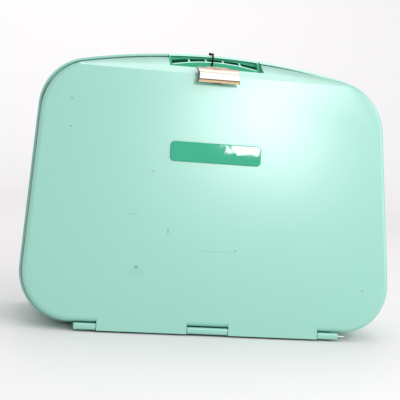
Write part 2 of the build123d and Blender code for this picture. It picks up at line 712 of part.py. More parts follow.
def strike_plate():
    """The angle under the tub that the claw catches on."""
    top = TUB_FLOOR - TUB_WALL
    y = strike_front()
    plate = block(-STRIKE_HALF, STRIKE_HALF, y, y + STRIKE_LENGTH, top - STRIKE_SHEET, top)
    plate += block(-STRIKE_HALF, STRIKE_HALF, y, y + STRIKE_SHEET, STRIKE_LIP_BOTTOM, top)
    for x, place in strike_screw_places():
        plate -= post(x, place, STRIKE_LIP_BOTTOM, top + STRIKE_SHEET, SCREW_RADIUS + FIXED_FIT)
    return plate


def strike_screw():
    """The two screws that hold the strike plate up to the tub."""
    seat = TUB_FLOOR - TUB_WALL - STRIKE_SHEET
    return [screw(x, y, seat, strike_screw_top()) for x, y in strike_screw_places()]


def name_plate():
    """The blank plate on the lid's face, rounded at its edges."""
    lean = radians(LEAN)
    outline = RectangleRounded(PLATE_LENGTH, PLATE_WIDTH, PLATE_CORNER)
    plate = extrude(outline, amount=PLATE_THICKNESS)
    plate = fillet(plate.faces().sort_by(Axis.Z)[-1].edges(), PLATE_ROUND)
    place = Plane(
        origin=(PLATE_CENTRE, *at_depth(0, PLATE_HEIGHT)),
        x_dir=(1, 0, 0),
        z_dir=(0, -cos(lean), sin(lean)),
    )
    return place * plate


def foot():
    """The four rubber feet."""
    feet = []
    for x, y in foot_places():
        pad = Cone(FOOT_RADIUS - FOOT_TAPER, FOOT_RADIUS, SHELL_BOTTOM)
        pad = Pos(x, y, SHELL_BOTTOM / 2) * pad
        pad -= post(x, y, -FOOT_SEAT, FOOT_SEAT, SCREW_HEAD_RADIUS + PIN_CLEAR)
        feet.append(pad - post(x, y, 0, SHELL_BOTTOM * 2, SCREW_RADIUS + FIXED_FIT))
    return feet


def foot_screw():
    """The four screws of the feet."""
    top = SHELL_BOTTOM + SHELL_WALL + FOOT_BOSS_HEIGHT - PIN_CLEAR
    return [screw(x, y, FOOT_SEAT, top, FOOT_SCREW_HEAD) for x, y in foot_places()]


def tie_point(depth, height):
    """A corner of the cord's loop, whose plane tilts to the left as it goes down."""
    x = TIE_PLACE - (RIM_APEX - height) * tan(radians(TIE_TILT))
    return (x, *at_depth(depth, height))


def tie_route():
    """The corners of the cord's loop round the grip."""
    off = TIE_CLEAR + TIE_RADIUS
    bend = off + TIE_BEND / 4
    return [
        tie_point(GRIP_FRONT - off, GRIP_BOTTOM - off),
        tie_point(GRIP_FRONT - off, GRIP_FRONT_TOP + off / 2),
        tie_point(LIP_DEPTH - off, RIM_APEX + bend),
        tie_point(GRIP_BACK + bend, RIM_APEX + bend),
        tie_point(GRIP_BACK + off, GRIP_BOTTOM - off),
    ]


def tie_cord():
    """The cord looped round the grip."""
    path = FilletPolyline(*tie_route(), radius=TIE_BEND, close=True)
    ring = Plane(origin=path @ 0, z_dir=path % 0) * Circle(TIE_RADIUS)
    cord = sweep(ring, path=path)
    print("tie cord", round(path.length, 1), "mm long, bend", TIE_BEND)
    print("tie cord volume", round(cord.volume, 2), "of", round(pi * TIE_RADIUS**2 * path.length, 2))
    return cord


def tie_knot():
    """The small knot beside the cord, at the front edge of the grip's top plate."""
    aside = TIE_RADIUS + KNOT_RADIUS + FIXED_FIT
    y, z = at_depth(LIP_DEPTH + KNOT_RADIUS, RIM_APEX + KNOT_RADIUS + TIE_CLEAR / 2)
    return Pos(TIE_PLACE - aside, y, z) * Sphere(KNOT_RADIUS)


def latch_spring():
    """The coil round the latch's pin, outside one ear."""
    coil = LATCH_PIN_RADIUS + SPRING_GAP + SPRING_WIRE / 2
    pitch = SPRING_WIRE + SPRING_PITCH_GAP
    line = Helix(pitch=pitch, height=pitch * SPRING_TURNS, radius=coil)
    ring = Plane(origin=line @ 0, z_dir=line % 0) * Circle(SPRING_WIRE / 2)
    wire = sweep(ring, path=line, is_frenet=True)
    start = EAR_INNER + EAR_THICKNESS + SPRING_WIRE / 2
    return Pos(start, *LATCH_CENTRE) * (Rot(0, 90, 0) * wire)


LATCH_NODES = (
    "latch_lever",
    "latch_claw",
    "latch_pin",
    "latch_spring",
    "latch_bracket",
    "latch_backing_plate",
    "latch_rivet",
)


def build():
    """Every node by its name, in the frame that the sizes use."""
    nodes = {
        "rear_shell": rear_shell(),
        "front_lid": front_lid(),
        "hinge_rod": hinge_rod(),
        "handle_housing": handle_housing(),
        "handle": handle(),
        "handle_pin": handle_pin(),
        "handle_clip": handle_clip(),
        "housing_screw": housing_screw(),
        "latch_lever": latch_lever(),
        "latch_claw": latch_claw(),
        "latch_pin": latch_pin(),
        "latch_spring": latch_spring(),
        "latch_bracket": latch_bracket(),
        "latch_backing_plate": latch_backing_plate(),
        "latch_rivet": latch_rivet(),
        "strike_plate": strike_plate(),
        "strike_screw": strike_screw(),
        "name_plate": name_plate(),
        "foot": foot(),
        "foot_screw": foot_screw(),
        "tie_cord": tie_cord(),
        "tie_knot": tie_knot(),
    }
    for name in LATCH_NODES:
        made = nodes[name] if isinstance(nodes[name], list) else [nodes[name]]
        nodes[name] = [Pos(LATCH_PLACE, 0, 0) * piece for piece in made]
    return nodes


def main():
    """Move the case so that the middle of its base is the origin, and write every node."""
    os.makedirs("parts", exist_ok=True)
    nodes = {}
    for name, made in build().items():
        pieces = made if isinstance(made, list) else [made]
        nodes[name] = [solid for piece in pieces for solid in piece.solids()]
    box = Compound([solid for solids in nodes.values() for solid in solids]).bounding_box()
    shift = Vector(-(box.min.X + box.max.X) / 2, -(box.min.Y + box.max.Y) / 2, -box.min.Z)
    for name, solids in nodes.items():
        placed = [solid.moved(Location(shift)) for solid in solids]
        shape = Compound(placed) if len(placed) > 1 else placed[0]
        export_step(shape, f"parts/{name}.step")
    print("shift", [round(v, 4) for v in shift], "size", [round(v, 2) for v in box.size])
    for name, centre in (
        ("lid hinge", ROD_CENTRE),
        ("grip hinge", PIVOT_CENTRE),
        ("latch hinge", LATCH_CENTRE),
    ):
        print(name, round(centre[0] + shift.Y, 4), round(centre[1] + shift.Z, 4))


main()
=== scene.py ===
"""The looks of a mint green carrying case with a leaning lid, a steel latch and a folding grip."""
import logging
import math
from dataclasses import dataclass
from enum import Enum

import bmesh
import bpy
from mathutils import Matrix, Vector


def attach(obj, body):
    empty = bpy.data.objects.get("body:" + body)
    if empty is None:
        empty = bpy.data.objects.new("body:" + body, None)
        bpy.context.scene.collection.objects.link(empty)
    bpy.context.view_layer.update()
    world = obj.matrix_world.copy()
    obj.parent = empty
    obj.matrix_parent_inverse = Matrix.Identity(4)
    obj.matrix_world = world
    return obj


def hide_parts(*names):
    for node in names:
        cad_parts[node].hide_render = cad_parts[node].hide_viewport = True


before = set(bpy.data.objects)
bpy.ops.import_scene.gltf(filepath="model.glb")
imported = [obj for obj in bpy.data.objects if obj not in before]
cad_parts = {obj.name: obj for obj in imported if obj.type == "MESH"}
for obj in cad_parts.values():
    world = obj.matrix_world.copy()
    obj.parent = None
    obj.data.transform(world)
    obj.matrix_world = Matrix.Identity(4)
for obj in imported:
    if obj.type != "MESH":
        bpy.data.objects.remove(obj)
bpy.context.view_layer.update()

LOG = logging.getLogger("case")
Colour = tuple[float, float, float, float]
Socket = bpy.types.NodeSocket

# The Mix node's sockets for colours: the two colours, the share and the result.
MIX_SHARE, MIX_FIRST, MIX_SECOND, MIX_RESULT = 0, 6, 7, 2

MARK_COLOUR: Colour = (0.03, 0.07, 0.05, 1.0)
LATCH_BASE: Colour = (1.0, 0.95, 0.9, 1.0)
SPECK_COLOUR: Colour = (0.17, 0.07, 0.05, 1.0)
# The painted shade along the latch's hollow left end.
LEFT_PAINTED_SHADE: Colour = (0.06, 0.09, 0.06, 1.0)
# The colour that the lip's right end darkens to.
LIP_END_DARK: Colour = (0.14, 0.12, 0.05, 1.0)
# The latch plate's colours by height, from its lower edge up: painted reflections of the
# surroundings in the tan lip, painted shade in the dark crease, a painted reflection of the lamp
# in the white band and painted reflections in the beige top.
LATCH_PAINTED_REFLECTIONS_AND_SHADE = (
    (0.0, (0.88, 0.63, 0.37, 1.0)),
    (0.13, (0.76, 0.52, 0.32, 1.0)),
    (0.165, (0.14, 0.09, 0.06, 1.0)),
    (0.20, (0.14, 0.09, 0.06, 1.0)),
    (0.235, (0.88, 0.85, 0.81, 1.0)),
    (0.60, (0.80, 0.76, 0.72, 1.0)),
    (0.74, (0.46, 0.37, 0.29, 1.0)),
    (0.90, (0.42, 0.32, 0.24, 1.0)),
    (1.0, (0.58, 0.49, 0.40, 1.0)),
)
DRAWN_STRETCH = (60.0, 2500.0, 2500.0)
DRAWN_POLISH, DRAWN_WEAR = 0.06, 0.08
# The floor's painted shade near the case and painted light on the far backdrop.
SHADED_NEAR_FLOOR: Colour = (0.79, 0.765, 0.775, 1.0)
LIT_FAR_FLOOR: Colour = (0.96, 0.945, 0.96, 1.0)
WHITE: Colour = (1.0, 1.0, 1.0, 1.0)
WELD = 0.000002
SLIVER = 0.000001


class Edge(Enum):
    """How softly the edges of a dressed piece are broken, in metres."""

    CRISP = 0.0
    FINE = 0.0002
    MOULDED = 0.0003


@dataclass(frozen=True)
class Mark:
    """A speck or scratch on the lid's face.

    Args:
        x: its place across the lid, in metres.
        z: its height, in metres.
        width: its half length across, in metres.
        height: its half length upwards, in metres.
        strength: how far it darkens the plastic, from 0 to 1.
    """

    x: float
    z: float
    width: float
    height: float
    strength: float


class Shader:
    """A node material under construction, with one principled surface."""

    def __init__(self, name: str, colour: Colour, roughness: float) -> None:
        """Start a material.

        Args:
            name: the material's name.
            colour: its linear base colour.
            roughness: its roughness.
        """
        self.material = bpy.data.materials.new(name)
        self.material.use_nodes = True
        self.tree = self.material.node_tree
        self.surface = self.tree.nodes["Principled BSDF"]
        self.surface.inputs["Base Color"].default_value = colour
        self.surface.inputs["Roughness"].default_value = roughness
        source = self.tree.nodes.new("ShaderNodeTexCoord")
        self.place = source.outputs["Object"]
        self.facing = source.outputs["Normal"]

    def node(self, kind: str, **values: object) -> bpy.types.Node:
        """Add a node and set its properties by name.

        Args:
            kind: the node's type.
            values: its properties by name.

        Returns:
            The new node.
        """
        made = self.tree.nodes.new(kind)
        for key, value in values.items():
            setattr(made, key, value)
        return made

    def link(self, source: Socket, target: Socket) -> None:
        """Join two sockets."""
        self.tree.links.new(source, target)

    def stretched(self, scale: tuple[float, float, float]) -> Socket:
        """Return the object's coordinates, stretched along each axis.

        Args:
            scale: the stretch along X, Y and Z.

        Returns:
            The stretched coordinates.
        """
        mapping = self.node("ShaderNodeMapping")
        mapping.inputs["Scale"].default_value = scale
        self.link(self.place, mapping.inputs["Vector"])
        return mapping.outputs["Vector"]

    def apart(self, vector: Socket) -> bpy.types.Node:
        """Return a node that gives a vector's X, Y and Z.

        Args:
            vector: the vector to split.

        Returns:
            A node with the outputs X, Y and Z.
        """
        split = self.node("ShaderNodeSeparateXYZ")
        self.link(vector, split.inputs["Vector"])
        return split

    def length_of(self, vector: Socket) -> Socket:
        """Return a vector's length.

        Args:
            vector: the vector to measure.

        Returns:
            Its length.
        """
        length = self.node("ShaderNodeVectorMath", operation="LENGTH")
        self.link(vector, length.inputs[0])
        return length.outputs["Value"]

    def noise(self, place: Socket, scale: float, detail: float) -> Socket:
        """Return a noise value at a place.

        Args:
            place: the coordinates to read.
            scale: the noise's scale, per metre.
            detail: its octaves.

        Returns:
            A socket from 0 to 1.
        """
        noise = self.node("ShaderNodeTexNoise")
        noise.inputs["Scale"].default_value = scale
        noise.inputs["Detail"].default_value = detail
        self.link(place, noise.inputs["Vector"])
        return noise.outputs["Fac"]

    def spread(self, source: Socket, low: float, high: float) -> Socket:
        """Return a value from 0 to 1, mapped to a range.

        Args:
            source: a value from 0 to 1.
            low: what 0 becomes.
            high: what 1 becomes.

        Returns:
            The mapped value.
        """
        ranged = self.node("ShaderNodeMapRange")
        ranged.inputs["To Min"].default_value = low
        ranged.inputs["To Max"].default_value = high
        self.link(source, ranged.inputs["Value"])
        return ranged.outputs["Result"]

    def ease(self, value: Socket, start: float, end: float, top: float = 1.0) -> Socket:
        """Return a smooth step.

        Args:
            value: the value that it follows.
            start: where it is 0.
            end: where it is full.
            top: what it is when full.

        Returns:
            A socket from 0 to top.
        """
        step = self.node("ShaderNodeMapRange", interpolation_type="SMOOTHSTEP")
        step.inputs["From Min"].default_value = start
        step.inputs["From Max"].default_value = end
        step.inputs["To Max"].default_value = top
        self.link(value, step.inputs["Value"])
        return step.outputs["Result"]

    def changed(self, value: Socket, number: float, kind: str) -> Socket:
        """Return a value and a number joined by a math operation.

        Args:
            value: the value.
            number: the number.
            kind: the operation.

        Returns:
            The result.
        """
        math_node = self.node("ShaderNodeMath", operation=kind)
        math_node.inputs[1].default_value = number
        self.link(value, math_node.inputs[0])
        return math_node.outputs[0]

    def joined(self, first: Socket, second: Socket, kind: str) -> Socket:
        """Return two values joined by a math operation.

        Args:
            first: the first value.
            second: the second value.
            kind: the operation.

        Returns:
            The result.
        """
        math_node = self.node("ShaderNodeMath", operation=kind)
        self.link(first, math_node.inputs[0])
        self.link(second, math_node.inputs[1])
        return math_node.outputs[0]

    def tint(self, colour: Colour, other: Colour, share: Socket) -> Socket:
        """Return a mix of two colours by a value from 0 to 1.

        Args:
            colour: the colour at 0.
            other: the colour at 1.
            share: the value.

        Returns:
            The mixed colour.
        """
        mix = self.node("ShaderNodeMix", data_type="RGBA")
        mix.inputs[MIX_FIRST].default_value = colour
        mix.inputs[MIX_SECOND].default_value = other
        self.link(share, mix.inputs[MIX_SHARE])
        return mix.outputs[MIX_RESULT]

    def covered(self, colour: Socket, other: Colour, share: Socket) -> Socket:
        """Return a colour with another laid over it by a value from 0 to 1.

        Args:
            colour: the colour below.
            other: the colour laid over it.
            share: how much it covers.

        Returns:
            The covered colour.
        """
        mix = self.node("ShaderNodeMix", data_type="RGBA")
        mix.inputs[MIX_SECOND].default_value = other
        self.link(share, mix.inputs[MIX_SHARE])
        self.link(colour, mix.inputs[MIX_FIRST])
        return mix.outputs[MIX_RESULT]

    def drive(self, name: str, value: Socket) -> None:
        """Drive one of the surface's sockets."""
        self.link(value, self.surface.inputs[name])

    def bump(self, height: Socket, distance: float, strength: float) -> None:
        """Raise the surface by a height.

        Args:
            height: the height, from 0 to 1.
            distance: the full height, in metres.
            strength: how much of it shows.
        """
        bump = self.node("ShaderNodeBump")
        bump.inputs["Distance"].default_value = distance
        bump.inputs["Strength"].default_value = strength
        self.link(height, bump.inputs["Height"])
        self.drive("Normal", bump.outputs["Normal"])

    def drawn_scratches(self, roughness: float) -> Socket:
        """Streak the gloss along X.

        Args:
            roughness: the mean roughness.

        Returns:
            The streaks, from 0 to 1.
        """
        drawn = self.noise(self.stretched(DRAWN_STRETCH), 1.0, 3.0)
        low, high = roughness - DRAWN_POLISH, roughness + DRAWN_WEAR
        self.drive("Roughness", self.spread(drawn, low, high))
        return drawn


@dataclass(frozen=True)
class MouldedPlastic:
    """A hard moulded plastic with a faint wave, uneven gloss, optional marks and optional painted
    light on its upturned faces and crest.

    Args:
        name: the material's name.
        colour: its linear colour.
        worn: the colour that it clouds towards.
        roughness: its mean roughness.
        wave_scale: the wave's scale, per metre.
        wave_height: the wave's height, in metres.
        cloud_scale: the clouding's scale, per metre.
        gloss_scale: the uneven gloss's scale, per metre.
        gloss_spread: how far the roughness strays from its mean.
        ior: its index of refraction.
        painted_light: the colour of the painted light on its upturned faces and crest, if it has
            any.
        painted_light_reach: how far from the middle the upturned faces get painted light, in
            metres.
        upturned: the normal's Z where the painted light starts and where it is full.
        crest: the height from which the piece gets painted light, at the middle.
        crest_arch: the radius by which that height falls to the sides, in metres.
        marks: the specks and scratches on it.
    """

    name: str
    colour: Colour
    worn: Colour
    roughness: float
    wave_scale: float = 150.0
    wave_height: float = 0.00003
    cloud_scale: float = 9.0
    gloss_scale: float = 14.0
    gloss_spread: float = 0.012
    ior: float = 1.9
    painted_light: Colour | None = None
    painted_light_reach: float = 0.047
    upturned: tuple[float, float] = (0.35, 0.6)
    crest: float = 0.2913
    crest_arch: float = 0.702
    marks: tuple[Mark, ...] = ()

    def paint_light_on(self, shader: Shader, colour: Socket) -> Socket:
        """Return the colour with painted light on the faces that look up and along the crest.

        Args:
            shader: the material under construction.
            colour: the colour to pale.

        Returns:
            The paled colour.
        """
        # Painted light: faces that look up near the middle, and everything above the crest, are
        # painted paler as if lit from above.
        upward = shader.ease(shader.apart(shader.facing).outputs["Z"], *self.upturned)
        place = shader.apart(shader.place)
        side = shader.changed(place.outputs["X"], 0.0, "ABSOLUTE")
        within = shader.changed(side, self.painted_light_reach, "LESS_THAN")
        square = shader.joined(place.outputs["X"], place.outputs["X"], "MULTIPLY")
        sag = shader.changed(square, 1.0 / (2.0 * self.crest_arch), "MULTIPLY")
        height = shader.joined(place.outputs["Z"], sag, "ADD")
        crest = shader.changed(height, self.crest, "GREATER_THAN")
        pale = shader.joined(shader.joined(upward, within, "MULTIPLY"), crest, "MAXIMUM")
        return shader.covered(colour, self.painted_light, pale)

    def mark_mask(self, shader: Shader, mark: Mark) -> Socket:
        """Return how much one mark covers, from 0 to its strength.

        Args:
            shader: the material under construction.
            mark: the mark.

        Returns:
            A value from 0 to the mark's strength.
        """
        mapping = shader.node("ShaderNodeMapping")
        mapping.inputs["Location"].default_value = (
            -mark.x / mark.width,
            0.0,
            -mark.z / mark.height,
        )
        mapping.inputs["Scale"].default_value = (1.0 / mark.width, 0.0, 1.0 / mark.height)
        shader.link(shader.place, mapping.inputs["Vector"])
        distance = shader.length_of(mapping.outputs["Vector"])
        return shader.ease(distance, 1.0, 0.4, mark.strength)

    def build(self) -> bpy.types.Material:
        """Build the material.

        Returns:
            The finished material.
        """
        shader = Shader(self.name, self.colour, self.roughness)
        shader.surface.inputs["IOR"].default_value = self.ior
        cloud = shader.noise(shader.place, self.cloud_scale, 3.0)
        colour = shader.tint(self.colour, self.worn, shader.spread(cloud, 0.0, 0.5))
        # Painted light on the upturned faces and crest, where the material has it.
        if self.painted_light:
            colour = self.paint_light_on(shader, colour)
        if self.marks:
            total = self.mark_mask(shader, self.marks[0])
            for mark in self.marks[1:]:
                total = shader.joined(total, self.mark_mask(shader, mark), "MAXIMUM")
            colour = shader.covered(colour, MARK_COLOUR, total)
        shader.drive("Base Color", colour)
        gloss = shader.noise(shader.place, self.gloss_scale, 2.0)
        low, high = self.roughness - self.gloss_spread, self.roughness + self.gloss_spread
        shader.drive("Roughness", shader.spread(gloss, low, high))
        shader.bump(shader.noise(shader.place, self.wave_scale, 2.0), self.wave_height, 0.35)
        return shader.material


@dataclass(frozen=True)
class BrushedMetal:
    """A plated or polished metal with fine drawn scratches.

    Args:
        name: the material's name.
        colour: its linear colour.
        stained: the colour that it clouds towards.
        roughness: its mean roughness.
        scratches: the scratches' height, in metres.
        stain_scale: the clouding's scale, per metre.
    """

    name: str
    colour: Colour
    stained: Colour
    roughness: float
    scratches: float = 0.00001
    stain_scale: float = 160.0

    def build(self) -> bpy.types.Material:
        """Build the material.

        Returns:
            The finished material.
        """
        shader = Shader(self.name, self.colour, self.roughness)
        shader.surface.inputs["Metallic"].default_value = 1.0
        darkening = shader.noise(shader.place, self.stain_scale, 4.0)
        share = shader.spread(darkening, -0.5, 1.0)
        shader.drive("Base Color", shader.tint(self.colour, self.stained, share))
        shader.bump(shader.drawn_scratches(self.roughness), self.scratches, 0.3)
        return shader.material


@dataclass(frozen=True)
class PolishedLatch:
    """The latch plate, with painted reflections in beige and white bands and a tan lip, painted
    shade in its crease and at its left end, brown specks and a darker right end of the lip.

    Args:
        name: the material's name.
        roughness: its mean roughness.
        lowest: the height of the plate's lower edge, in metres.
        highest: the height of its upper edge.
        left: the X of its left end.
        right: the X of its right end.
        hollow: how far the left end curves in, in metres.
        darkening: the width of the painted shade stripe along that end, in metres.
        speck_place: the middle of the brown specks.
        speck_reach: where the specks end and where they are full, in metres from there.
        speck_scale: the specks' scale, per metre.
        soft_edge: the width over which the painted shade stripe fades, in metres.
    """

    name: str
    roughness: float = 0.2
    lowest: float = 0.2611
    highest: float = 0.2780
    left: float = -0.0252
    right: float = 0.0212
    hollow: float = 0.0014
    darkening: float = 0.0013
    speck_place: tuple[float, float, float] = (-0.0045, -0.0385, 0.2757)
    speck_reach: tuple[float, float] = (0.0090, 0.0025)
    speck_scale: float = 900.0
    soft_edge: float = 0.0004

    def painted_reflections_and_shade(self, shader: Shader, height: Socket) -> Socket:
        """Return the plate's painted reflections and painted shade by its height.

        Args:
            shader: the material under construction.
            height: the height, in metres.

        Returns:
            The painted colour at that height.
        """
        ramp = shader.node("ShaderNodeValToRGB")
        while len(ramp.color_ramp.elements) < len(LATCH_PAINTED_REFLECTIONS_AND_SHADE):
            ramp.color_ramp.elements.new(0.5)
        for element, (place, colour) in zip(ramp.color_ramp.elements, LATCH_PAINTED_REFLECTIONS_AND_SHADE):
            element.position = place
            element.color = colour
        share = shader.node("ShaderNodeMapRange")
        share.inputs["From Min"].default_value = self.lowest
        share.inputs["From Max"].default_value = self.highest
        shader.link(height, share.inputs["Value"])
        shader.link(share.outputs["Result"], ramp.inputs["Fac"])
        return ramp.outputs["Color"]

    def specks(self, shader: Shader) -> Socket:
        """Return how much the brown specks cover, from 0 to 1.

        Args:
            shader: the material under construction.

        Returns:
            A value from 0 to 1.
        """
        speckle = shader.ease(shader.noise(shader.place, self.speck_scale, 3.0), 0.47, 0.58)
        near = shader.node("ShaderNodeVectorMath", operation="DISTANCE")
        near.inputs[1].default_value = self.speck_place
        shader.link(shader.place, near.inputs[0])
        patch = shader.ease(near.outputs["Value"], *self.speck_reach)
        return shader.joined(speckle, patch, "MULTIPLY")

    def left_stripe(self, shader: Shader, place: bpy.types.Node) -> Socket:
        """Return how much painted shade a place gets along the hollow left end, from 0 to 1.

        Args:
            shader: the material under construction.
            place: the place's X, Y and Z.

        Returns:
            A value from 0 to 1.
        """
        half = (self.highest - self.lowest) / 2
        level = shader.changed(place.outputs["Z"], self.lowest + half, "SUBTRACT")
        square = shader.joined(level, level, "MULTIPLY")
        bow = shader.changed(square, self.hollow / half**2, "MULTIPLY")
        across = shader.joined(place.outputs["X"], bow, "ADD")
        edge = self.left + self.hollow + self.darkening
        return shader.ease(across, edge + self.soft_edge, edge)

    def lip_end(self, shader: Shader, place: bpy.types.Node) -> Socket:
        """Return how near a place is to the lip's right end, from 0 to 1.

        Args:
            shader: the material under construction.
            place: the place's X, Y and Z.

        Returns:
            A value from 0 to 1.
        """
        end = shader.ease(place.outputs["X"], self.right - 0.0013, self.right - 0.0009)
        low = shader.ease(place.outputs["Z"], self.lowest + 0.0034, self.lowest + 0.0028)
        return shader.joined(end, low, "MULTIPLY")

    def build(self) -> bpy.types.Material:
        """Build the material.

        Returns:
            The finished material.
        """
        shader = Shader(self.name, LATCH_BASE, self.roughness)
        shader.surface.inputs["Metallic"].default_value = 0.85
        place = shader.apart(shader.place)
        # Painted reflections and painted shade, in bands by height.
        colour = self.painted_reflections_and_shade(shader, place.outputs["Z"])
        colour = shader.covered(colour, SPECK_COLOUR, self.specks(shader))
        # Painted shade: a dark stripe along the hollow left end.
        colour = shader.covered(colour, LEFT_PAINTED_SHADE, self.left_stripe(shader, place))
        # The lip's right end is darker.
        colour = shader.covered(colour, LIP_END_DARK, self.lip_end(shader, place))
        shader.drive("Base Color", colour)
        shader.drawn_scratches(self.roughness)
        return shader.material


@dataclass(frozen=True)
class GlossyLabel:
    """The blank label under its clear, slightly wavy cover.

    Args:
        name: the material's name.
        colour: its linear colour.
        faded: the colour that it clouds towards.
        roughness: its roughness.
        cloud_scale: the clouding's scale, per metre.
        wave_scale: the wave's scale, per metre.
        wave_height: the wave's height, in metres.
    """

    name: str
    colour: Colour = (0.020, 0.34, 0.19, 1.0)
    faded: Colour = (0.030, 0.38, 0.23, 1.0)
    roughness: float = 0.06
    cloud_scale: float = 40.0
    wave_scale: float = 90.0
    wave_height: float = 0.0004

    def build(self) -> bpy.types.Material:
        """Build the material.

        Returns:
            The finished material.
        """
        shader = Shader(self.name, self.colour, self.roughness)
        cloud = shader.noise(shader.place, self.cloud_scale, 3.0)
        shader.drive("Base Color", shader.tint(self.colour, self.faded, cloud))
        shader.bump(shader.noise(shader.place, self.wave_scale, 1.0), self.wave_height, 0.35)
        return shader.material


@dataclass(frozen=True)
class SoftMatter:
    """Rubber or woven cord: dull, with a coarse bump.

    Args:
        name: the material's name.
        colour: its linear colour.
        dusty: the colour that it clouds towards.
        roughness: its roughness.
        texture_scale: the bump's scale, per metre.
        texture_height: the bump's height, in metres.
        ior: its index of refraction.
        dust_scale: the clouding's scale, per metre.
    """

    name: str
    colour: Colour
    dusty: Colour
    roughness: float
    texture_scale: float
    texture_height: float
    ior: float = 1.5
    dust_scale: float = 120.0

    def build(self) -> bpy.types.Material:
        """Build the material.

        Returns:
            The finished material.
        """
        shader = Shader(self.name, self.colour, self.roughness)
        shader.surface.inputs["IOR"].default_value = self.ior
        dust = shader.noise(shader.place, self.dust_scale, 3.0)
        shader.drive("Base Color", shader.tint(self.colour, self.dusty, dust))
        texture = shader.noise(shader.place, self.texture_scale, 2.0)
        shader.bump(texture, self.texture_height, 0.8)
        return shader.material


@dataclass
class Wardrobe:
    """Every finish of the case, built once.

    Args:
        marks: the specks and scratches on the lid.
    """

    marks: tuple[Mark, ...]

    def build(self) -> dict[str, bpy.types.Material]:
        """Build every finish.

        Returns:
            The materials by finish name.
        """
        mint, worn = (0.240, 0.550, 0.453, 1.0), (0.260, 0.570, 0.473, 1.0)
        # The two deep greens below are painted shade for the grip and the well behind it; the pale
        # green is painted light on the grip's upturned faces and crest.
        painted_shade_green, painted_deeper_shade = (0.030, 0.36, 0.20, 1.0), (0.022, 0.31, 0.17, 1.0)
        painted_light = (0.50, 0.86, 0.74, 1.0)
        steel, stained = (0.55, 0.54, 0.52, 1.0), (0.38, 0.36, 0.33, 1.0)
        rubber, dusty = (0.02, 0.02, 0.02, 1.0), (0.05, 0.05, 0.05, 1.0)
        black, faded = (0.003, 0.004, 0.003, 1.0), (0.008, 0.01, 0.008, 1.0)
        finishes = (
            MouldedPlastic("mint_lid", mint, worn, 0.295, marks=self.marks),
            MouldedPlastic("mint_shell", mint, worn, 0.32),
            # The grip wears painted shade with painted light on top, and its well wears painted
            # shade.
            MouldedPlastic("grip_painted_shade_and_light", painted_shade_green, painted_deeper_shade, 0.45, ior=1.35, painted_light=painted_light),
            MouldedPlastic("well_painted_shade", painted_deeper_shade, painted_shade_green, 0.45, ior=1.35),
            GlossyLabel("glossy_plate"),
            PolishedLatch("polished_latch"),
            BrushedMetal("plated_steel", steel, stained, 0.32),
            SoftMatter("foot_rubber", rubber, dusty, 0.75, 1500.0, 0.0001),
            SoftMatter("tie_fabric", black, faded, 0.95, 4000.0, 0.0002, ior=1.12),
        )
        return {finish.name: finish.build() for finish in finishes}


@dataclass
class DressedNode:
    """A welded copy of one of the case's solids, with smooth faces and broken edges.

    Args:
        node: the solid's node.
        body: the body that carries it.
        finish: the name of its finish.
        slot: its material slot; not used.
        edge: how softly its edges are broken.
        smooth_below: the angle below which two faces are shaded as one, in radians.
    """

    node: str
    body: str
    finish: str
    slot: str
    edge: Edge = Edge.FINE
    smooth_below: float = math.radians(32.0)

    def mesh(self) -> bpy.types.Mesh:
        """Weld the solid's mesh and mark its sharp edges.

        Returns:
            The mesh, with its place in its points.
        """
        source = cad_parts[self.node]
        shape = bmesh.new()
        shape.from_mesh(source.data)
        shape.transform(source.matrix_world)
        bmesh.ops.remove_doubles(shape, verts=shape.verts, dist=WELD)
        bmesh.ops.dissolve_degenerate(shape, edges=shape.edges, dist=SLIVER)
        for face in shape.faces:
            face.smooth = True
        for edge in shape.edges:
            closed = len(edge.link_faces) == 2
            edge.smooth = closed and edge.calc_face_angle(0.0) < self.smooth_below
        made = bpy.data.meshes.new(f"{self.node}_skin")
        shape.to_mesh(made)
        shape.free()
        return made

    def build(self, materials: dict[str, bpy.types.Material]) -> bpy.types.Object:
        """Dress the piece, riding on its body in place of the solid.

        Args:
            materials: the materials by finish name.

        Returns:
            The dressed piece.
        """
        piece = bpy.data.objects.new(f"{self.node}_skin", self.mesh())
        bpy.context.scene.collection.objects.link(piece)
        piece.data.materials.append(materials[self.finish])
        if self.edge is not Edge.CRISP:
            bevel = piece.modifiers.new("edges", "BEVEL")
            bevel.width = self.edge.value
            bevel.segments = 2
            bevel.limit_method = "ANGLE"
            bevel.angle_limit = self.smooth_below
        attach(piece, self.body)
        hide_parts(self.node)
        LOG.info("dressed %s", self.node)
        return piece


@dataclass
class SubAssembly:
    """The pieces of the case that ride on one body.

    Args:
        body: the body that carries them.
        moulded: how softly the edges of its large plastic pieces are broken.
        fine: how softly the edges of its small pieces are broken.
        plain: the edges of its fasteners and cords, which are left as they are.
    """

    body: str
    moulded: Edge = Edge.MOULDED
    fine: Edge = Edge.FINE
    plain: Edge = Edge.CRISP

    def piece(self, node: str, finish: str, slot: str, edge: Edge) -> DressedNode:
        """Return one of its pieces."""
        return DressedNode(node, self.body, finish, slot, edge)

    def steel(self, *nodes: str) -> list[DressedNode]:
        """Return its plated steel pieces."""
        return [self.piece(node, "plated_steel", "plated_steel", self.plain) for node in nodes]

    def pieces(self) -> list[DressedNode]:
        """Return every piece to dress."""
        raise NotImplementedError

    def build(self, materials: dict[str, bpy.types.Material]) -> None:
        """Dress every piece."""
        for piece in self.pieces():
            piece.build(materials)


